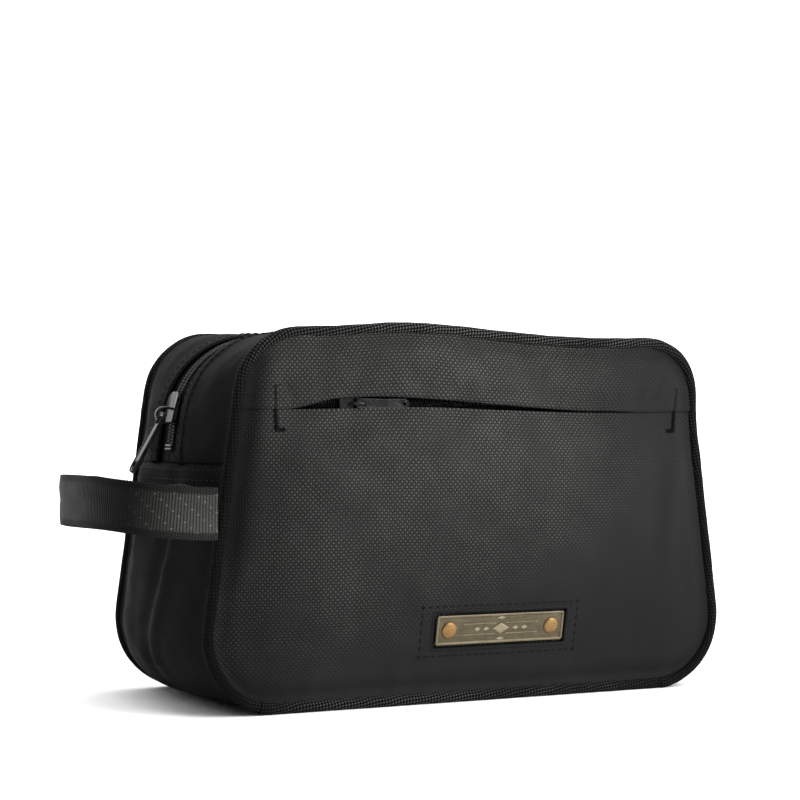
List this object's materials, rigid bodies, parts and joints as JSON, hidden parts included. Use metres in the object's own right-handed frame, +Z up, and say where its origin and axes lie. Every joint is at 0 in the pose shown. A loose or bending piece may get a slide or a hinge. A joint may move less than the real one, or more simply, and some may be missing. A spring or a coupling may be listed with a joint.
{
  "type": "shaving kit bag",
  "caption": "Boxy black waxed-canvas wash bag with piped panels, a zipped mouth, a zipped slit pocket, a webbing side handle and a riveted nameplate.",
  "frame": {"origin": "middle of the base, on the ground the bag stands on", "axes": "+Z up, -Y out of the front panel, -X towards the end with the handle and the zip pull"},
  "size_m": [0.3183, 0.1206, 0.17],
  "materials": {
    "canvas": "black waxed cotton canvas, coarse plain weave with paler worn thread crowns and a soft sheen",
    "piping": "canvas cut on the bias and sewn round a cord",
    "lining": "charcoal woven lining",
    "webbing": "ribbed charcoal webbing with denser edges",
    "zip_tape": "fine woven black zip tape",
    "zip_coil": "black moulded coil",
    "black_metal": "black lacquered zinc, worn on the edges",
    "antique_brass": "antiqued brass, dark in the recesses and brushed bright on the rim",
    "rivet_copper": "warm domed brass rivets",
    "thread": "black bonded thread",
    "board": "plain stiffening board"
  },
  "bodies": {
    "bag": {"front_panel_upper": "canvas", "front_panel_lower": "canvas", "back_panel": "canvas", "bottom_gusset": "canvas", "front_piping": "piping", "back_piping": "piping", "gusset_corner_front_left": "canvas", "gusset_corner_back_left": "canvas", "gusset_corner_front_right": "canvas", "gusset_corner_back_right": "canvas", "zip_tape_front_left": "zip_tape", "zip_tape_back_left": "zip_tape", "zip_tape_front_right": "zip_tape", "zip_tape_back_right": "zip_tape", "zip_coil_front_left": "zip_coil", "zip_coil_back_left": "zip_coil", "zip_coil_front_right": "zip_coil", "zip_coil_back_right": "zip_coil", "zip_stops": "black_metal", "pocket_hem_upper": "canvas", "pocket_hem_lower": "canvas", "pocket_tape_upper": "zip_tape", "pocket_tape_lower": "zip_tape", "pocket_coil_upper": "zip_coil", "pocket_coil_lower": "zip_coil", "pocket_bag": "lining", "pocket_bar_tacks": "thread", "lining_front": "lining", "lining_back": "lining", "lining_gusset": "lining", "base_board": "board", "handle_root_front": "webbing", "handle_root_back": "webbing", "plate_backing": "canvas", "nameplate": "antique_brass", "nameplate_rivets": "rivet_copper", "rivet_washers": "antique_brass"},
    "front_flap": {"mouth_flap_front": "canvas", "zip_tape_front_middle": "zip_tape", "zip_coil_front_middle": "zip_coil"},
    "back_flap": {"mouth_flap_back": "canvas", "zip_tape_back_middle": "zip_tape", "zip_coil_back_middle": "zip_coil"},
    "zip_slider": {"main_slider": "black_metal"},
    "zip_pull": {"main_pull": "black_metal"},
    "pocket_zip_slider": {"pocket_slider": "black_metal"},
    "pocket_zip_pull": {"pocket_pull": "black_metal"},
    "handle": {"handle_loop": "webbing"}
  },
  "joints": [
    {"name": "main_zip_travel", "type": "hinge", "parent": "bag", "child": "zip_slider", "pos_m": [-0.08425, 0, 0.125], "axis": [0, 1, 0], "range_deg": [0, 62]},
    {"name": "main_pull_swing", "type": "hinge", "parent": "zip_slider", "child": "zip_pull", "pos_m": [-0.13149, 0, 0.13164], "axis": [0, 1, 0], "range_deg": [-24, 115]},
    {"name": "pocket_zip_travel", "type": "slide", "parent": "bag", "child": "pocket_zip_slider", "axis": [1, 0, 0], "range_m": [-0.024, 0.13]},
    {"name": "pocket_pull_swing", "type": "hinge", "parent": "pocket_zip_slider", "child": "pocket_zip_pull", "pos_m": [-0.061, -0.0583, 0.1365], "axis": [0, 0, -1], "range_deg": [0, 150]},
    {"name": "handle_swing", "type": "hinge", "parent": "bag", "child": "handle", "pos_m": [-0.14321, 0, 0.0885], "axis": [0, 1, 0], "range_deg": [-30, 30], "stiffness_Nm_per_rad": 0.05},
    {"name": "front_flap_fold", "type": "hinge", "parent": "bag", "child": "front_flap", "pos_m": [0, -0.055, 0.1685], "axis": [1, 0, 0], "range_deg": [0, 70]},
    {"name": "back_flap_fold", "type": "hinge", "parent": "bag", "child": "back_flap", "pos_m": [0, 0.055, 0.1685], "axis": [-1, 0, 0], "range_deg": [0, 70]}
  ]
}
